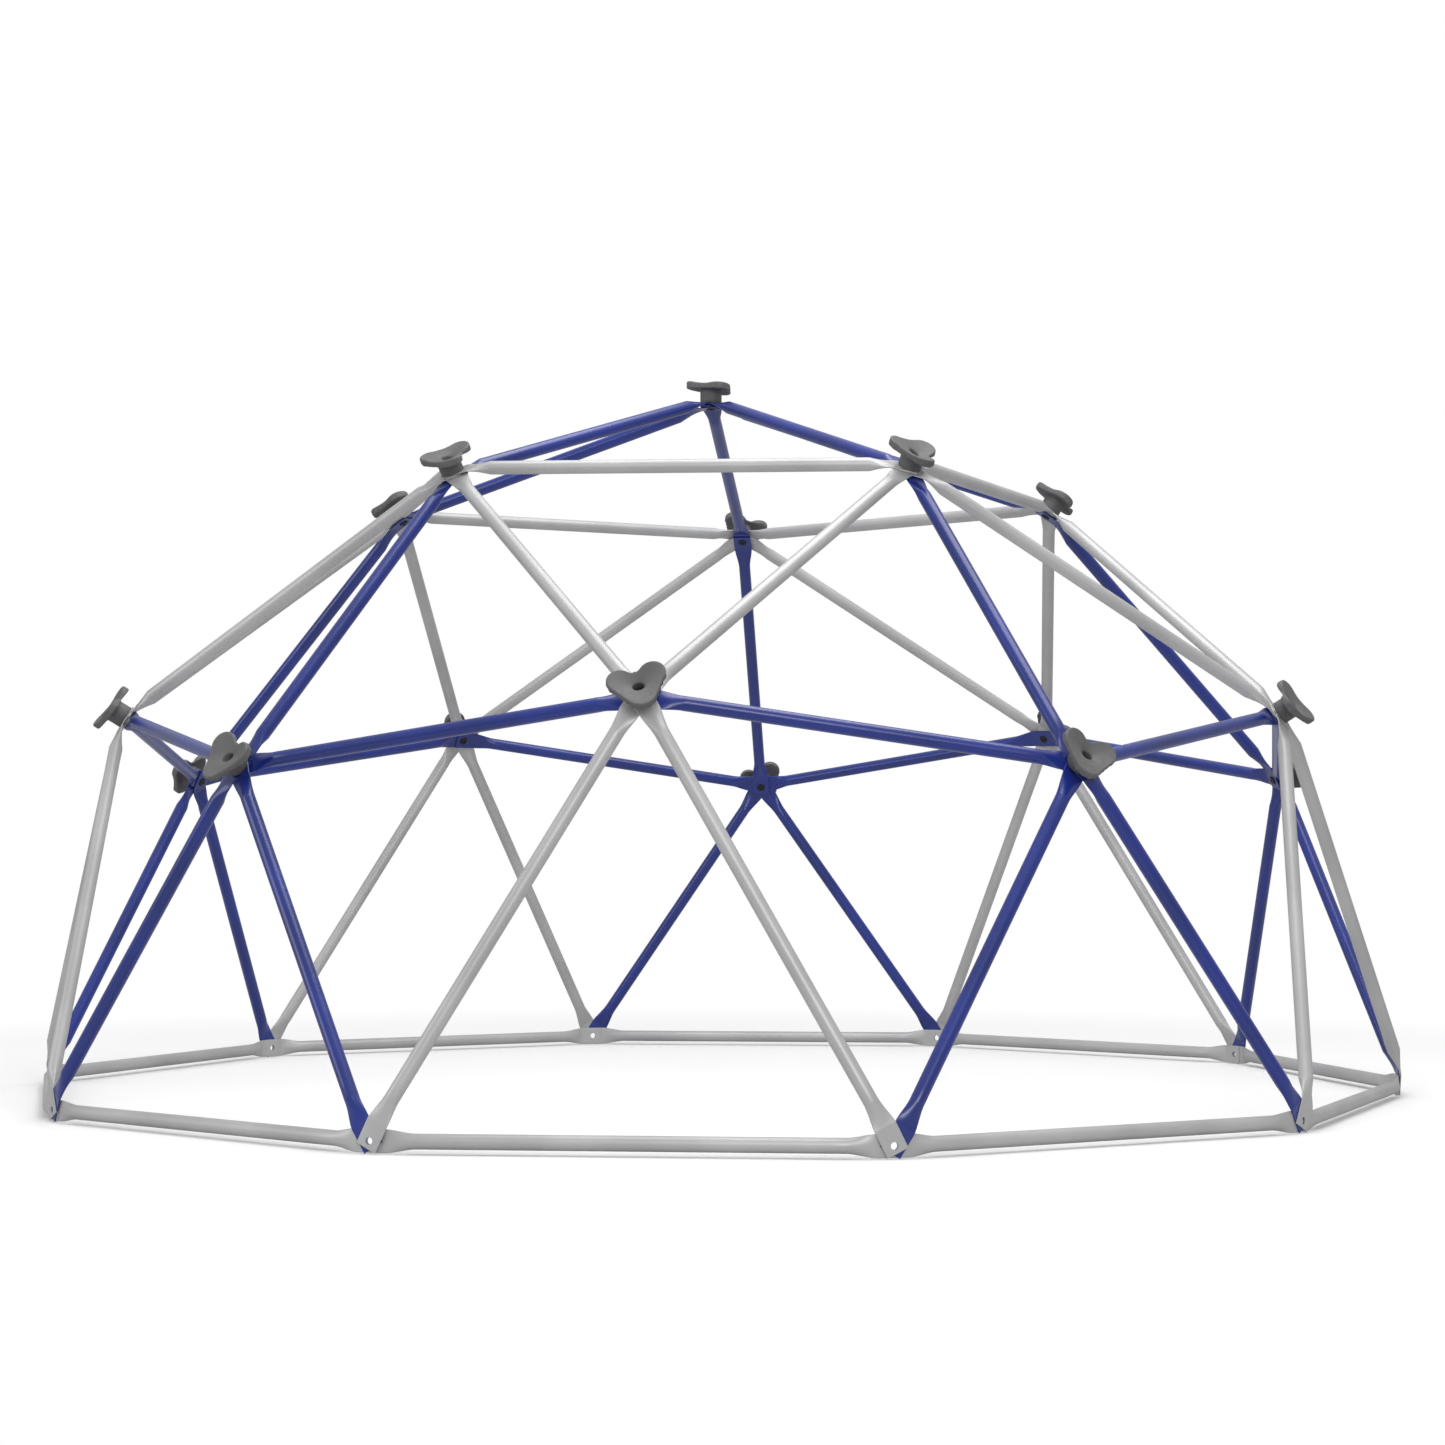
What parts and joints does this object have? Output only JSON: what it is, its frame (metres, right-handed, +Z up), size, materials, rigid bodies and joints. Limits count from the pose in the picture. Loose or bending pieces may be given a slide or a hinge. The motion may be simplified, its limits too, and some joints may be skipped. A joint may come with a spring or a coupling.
{
  "type": "dome climber",
  "caption": "Geodesic half-ball climbing frame of straight tubes bolted through flattened ends, with a three-lobed handhold on each raised joint.",
  "frame": {"origin": "on the ground below the apex, at the centre of the footprint", "axes": "+Z up through the apex; -Y is the side with a brace joint in its middle, +Y the side with a rib joint in its middle"},
  "size_m": [3.0096, 2.8978, 1.5818],
  "materials": {
    "blue_tube": "gloss blue powder coat on steel tube",
    "silver_tube": "satin silver-grey powder coat on steel tube",
    "handhold": "finely textured moulded grey plastic",
    "fastener": "black finish on steel"
  },
  "bodies": {
    "root": {"apex_strut_1": "blue_tube", "upper_rib_1": "blue_tube", "belt_pair_1": "blue_tube", "rib_leg_pair_1": "blue_tube", "crown_strut_1": "silver_tube", "upper_brace_pair_1": "silver_tube", "brace_leg_pair_1": "silver_tube", "ground_pair_1": "silver_tube", "apex_strut_2": "blue_tube", "upper_rib_2": "blue_tube", "belt_pair_2": "blue_tube", "rib_leg_pair_2": "blue_tube", "crown_strut_2": "silver_tube", "upper_brace_pair_2": "silver_tube", "brace_leg_pair_2": "silver_tube", "ground_pair_2": "silver_tube", "apex_strut_3": "blue_tube", "upper_rib_3": "blue_tube", "belt_pair_3": "blue_tube", "rib_leg_pair_3": "blue_tube", "crown_strut_3": "silver_tube", "upper_brace_pair_3": "silver_tube", "brace_leg_pair_3": "silver_tube", "ground_pair_3": "silver_tube", "apex_strut_4": "blue_tube", "upper_rib_4": "blue_tube", "belt_pair_4": "blue_tube", "rib_leg_pair_4": "blue_tube", "crown_strut_4": "silver_tube", "upper_brace_pair_4": "silver_tube", "brace_leg_pair_4": "silver_tube", "ground_pair_4": "silver_tube", "apex_strut_5": "blue_tube", "upper_rib_5": "blue_tube", "belt_pair_5": "blue_tube", "rib_leg_pair_5": "blue_tube", "crown_strut_5": "silver_tube", "upper_brace_pair_5": "silver_tube", "brace_leg_pair_5": "silver_tube", "ground_pair_5": "silver_tube", "handhold_apex": "handhold", "handhold_upper_1": "handhold", "handhold_rib_1": "handhold", "handhold_brace_1": "handhold", "handhold_upper_2": "handhold", "handhold_rib_2": "handhold", "handhold_brace_2": "handhold", "handhold_upper_3": "handhold", "handhold_rib_3": "handhold", "handhold_brace_3": "handhold", "handhold_upper_4": "handhold", "handhold_rib_4": "handhold", "handhold_brace_4": "handhold", "handhold_upper_5": "handhold", "handhold_rib_5": "handhold", "handhold_brace_5": "handhold", "handhold_bolts": "fastener", "handhold_washers": "fastener", "barrel_nuts": "fastener"}
  },
  "joints": []
}
